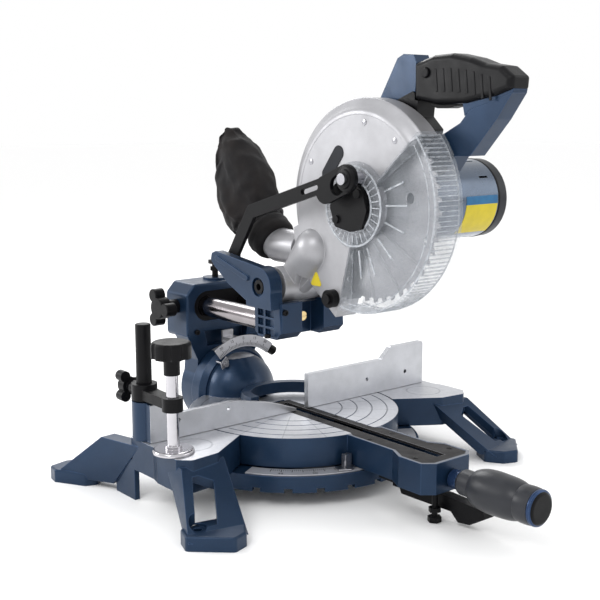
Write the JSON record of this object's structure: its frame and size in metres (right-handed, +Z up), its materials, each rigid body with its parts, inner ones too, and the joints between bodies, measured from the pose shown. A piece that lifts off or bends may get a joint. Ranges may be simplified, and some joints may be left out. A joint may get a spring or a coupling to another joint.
{
  "type": "mitre saw",
  "caption": "Sliding compound mitre saw on its own cast base, with turntable, tilting column, slide rails, guarded blade, dust bag and work clamp.",
  "frame": {"origin": "on the floor, on the turntable's vertical pivot axis, at the centre of the four bench bolt holes", "axes": "+X to the operator's right, +Y away from the operator, +Z up"},
  "size_m": [0.5076, 0.5823, 0.478],
  "materials": {
    "blue_casting": "cast, navy metallic paint",
    "machined_alloy": "machined",
    "silver_paint": "cast, light silver paint",
    "steel": "zinc plated",
    "chrome_steel": "polished",
    "brass_part": "plain",
    "black_plastic": "moulded",
    "grey_plastic": "fine grain",
    "soft_grip": "soft grip",
    "kerf_plastic": "moulded",
    "clear_plastic": "clear polycarbonate",
    "bag_cloth": "woven",
    "blade_steel": "ground",
    "copper_iron": "varnished"
  },
  "bodies": {
    "base": {"base_casting": "blue_casting", "mitre_scale": "machined_alloy", "fence": "machined_alloy", "base_bolts": "steel"},
    "turntable": {"turntable": "blue_casting", "kerf_plate": "kerf_plastic", "kerf_screws": "steel", "mitre_pointer": "steel", "support_bolt": "black_plastic", "detent_bracket": "black_plastic", "bevel_pointer": "steel", "bevel_bolt": "steel"},
    "mitre_grip": {"mitre_handle": "grey_plastic", "mitre_handle_shaft": "black_plastic", "mitre_handle_cap": "black_plastic"},
    "detent": {"detent_lever": "black_plastic"},
    "bevel_arm": {"column": "blue_casting", "rail_bushes": "brass_part", "rail_wiper": "black_plastic", "bevel_scale": "machined_alloy", "bevel_stop": "black_plastic"},
    "bevel_lock": {"bevel_lever": "black_plastic"},
    "slide_lock": {"slide_knob": "black_plastic"},
    "stop_screw": {"rail_stop_screw": "black_plastic"},
    "slide": {"carriage": "blue_casting", "slide_rails": "chrome_steel", "rail_end_plate": "black_plastic", "pivot_pin": "steel", "link_anchor": "steel", "depth_stop": "brass_part"},
    "head_lock": {"lock_pin": "black_plastic"},
    "head": {"upper_guard": "silver_paint", "gear_case": "blue_casting", "motor_housing": "blue_casting", "motor_cap": "grey_plastic", "field_and_brushes": "copper_iron", "cord_gland": "black_plastic", "bearings": "steel", "bearing_plates": "steel", "guard_roller": "black_plastic", "handle_frame": "blue_casting", "grip": "soft_grip", "dust_port": "black_plastic", "dust_bag": "bag_cloth"},
    "spindle": {"arbor_shaft": "steel", "saw_blade": "blade_steel", "blade_flange": "steel", "arbor_bolt": "steel"},
    "rotor": {"armature": "copper_iron"},
    "guard": {"lower_guard": "clear_plastic", "arbor_cover": "black_plastic", "link_screw": "steel"},
    "link": {"guard_link": "black_plastic"},
    "trigger_lever": {"trigger": "black_plastic"},
    "safety_button": {"lock_off_button": "black_plastic"},
    "clamp_swivel": {"clamp_post": "black_plastic"},
    "clamp_lift": {"clamp_arm": "black_plastic"},
    "clamp_lock": {"clamp_lock_knob": "black_plastic"},
    "clamp_screw": {"clamp_spindle": "chrome_steel", "clamp_knob": "black_plastic"}
  },
  "joints": [
    {"name": "mitre_turn", "type": "hinge", "parent": "base", "child": "turntable", "pos_m": [0, 0, 0.037], "axis": [0, 0, 1], "range_deg": [-45, 45]},
    {"name": "mitre_grip_turn", "type": "hinge", "parent": "turntable", "child": "mitre_grip", "pos_m": [0.002, -0.3, 0.05], "axis": [0, -1, 0], "range_deg": [-180, 180]},
    {"name": "detent_squeeze", "type": "hinge", "parent": "turntable", "child": "detent", "pos_m": [0.01, -0.186, 0.027], "axis": [-1, 0, 0], "range_deg": [0, 2], "stiffness_Nm_per_rad": 3, "springref_deg": -5.73},
    {"name": "bevel_tilt", "type": "hinge", "parent": "turntable", "child": "bevel_arm", "pos_m": [0, 0.15, 0.07], "axis": [0, 1, 0], "range_deg": [-45, 0]},
    {"name": "bevel_lock_turn", "type": "hinge", "parent": "bevel_arm", "child": "bevel_lock", "pos_m": [0, 0.184, 0.07], "axis": [0, -1, 0], "range_deg": [0, 60]},
    {"name": "slide_lock_turn", "type": "hinge", "parent": "bevel_arm", "child": "slide_lock", "pos_m": [-0.07, 0.16, 0.178], "axis": [-1, 0, 0], "range_deg": [-180, 180]},
    {"name": "stop_screw_turn", "type": "hinge", "parent": "bevel_arm", "child": "stop_screw", "pos_m": [0, 0.16, 0.21], "axis": [0, 0, 1], "range_deg": [-180, 180]},
    {"name": "head_slide", "type": "slide", "parent": "bevel_arm", "child": "slide", "axis": [0, -1, 0], "range_m": [-0.11, 0]},
    {"name": "head_drop", "type": "hinge", "parent": "slide", "child": "head", "pos_m": [0, -0.012, 0.224], "axis": [1, 0, 0], "range_deg": [0, 60], "stiffness_Nm_per_rad": 8, "springref_deg": -91.67},
    {"name": "head_lock_pull", "type": "slide", "parent": "slide", "child": "head_lock", "axis": [1, 0, 0], "range_m": [0, 0.004], "stiffness_N_per_m": 400, "springref_m": -0.004},
    {"name": "blade_spin", "type": "hinge", "parent": "head", "child": "spindle", "pos_m": [0, -0.128, 0.321], "axis": [1, 0, 0], "continuous": true},
    {"name": "armature_spin", "type": "hinge", "parent": "head", "child": "rotor", "pos_m": [0.09, -0.128, 0.337], "axis": [1, 0, 0], "continuous": true},
    {"name": "guard_turn", "type": "hinge", "parent": "head", "child": "guard", "pos_m": [0, -0.128, 0.321], "axis": [1, 0, 0], "range_deg": [-111.5, 0.5]},
    {"name": "link_swing", "type": "hinge", "parent": "slide", "child": "link", "pos_m": [-0.042, 0.062, 0.25], "axis": [1, 0, 0], "range_deg": [-0.5, 39.8]},
    {"name": "trigger_pull", "type": "slide", "parent": "head", "child": "trigger_lever", "axis": [0, 0, 1], "range_m": [0, 0.004], "stiffness_N_per_m": 400, "springref_m": -0.003},
    {"name": "lock_off_press", "type": "slide", "parent": "head", "child": "safety_button", "axis": [1, 0, 0], "range_m": [0, 0.0025], "stiffness_N_per_m": 300, "springref_m": -0.002},
    {"name": "clamp_post_turn", "type": "hinge", "parent": "base", "child": "clamp_swivel", "pos_m": [-0.202, 0.007, 0.12], "axis": [0, 0, 1], "range_deg": [-40, 40]},
    {"name": "clamp_arm_lift", "type": "slide", "parent": "clamp_swivel", "child": "clamp_lift", "axis": [0, 0, 1], "range_m": [0, 0.05]},
    {"name": "clamp_knob_turn", "type": "hinge", "parent": "clamp_lift", "child": "clamp_lock", "pos_m": [-0.202, 0.03, 0.123], "axis": [0, 1, 0], "range_deg": [-180, 180]},
    {"name": "clamp_screw_lift", "type": "slide", "parent": "clamp_lift", "child": "clamp_screw", "axis": [0, 0, 1], "range_m": [0, 0.034]}
  ],
  "couplings": [
    {"joint": "guard_turn", "follows": "head_drop", "ratio": -1.85},
    {"joint": "link_swing", "follows": "head_drop", "ratio": 0.655},
    {"joint": "armature_spin", "follows": "blade_spin", "ratio": -2.2}
  ]
}
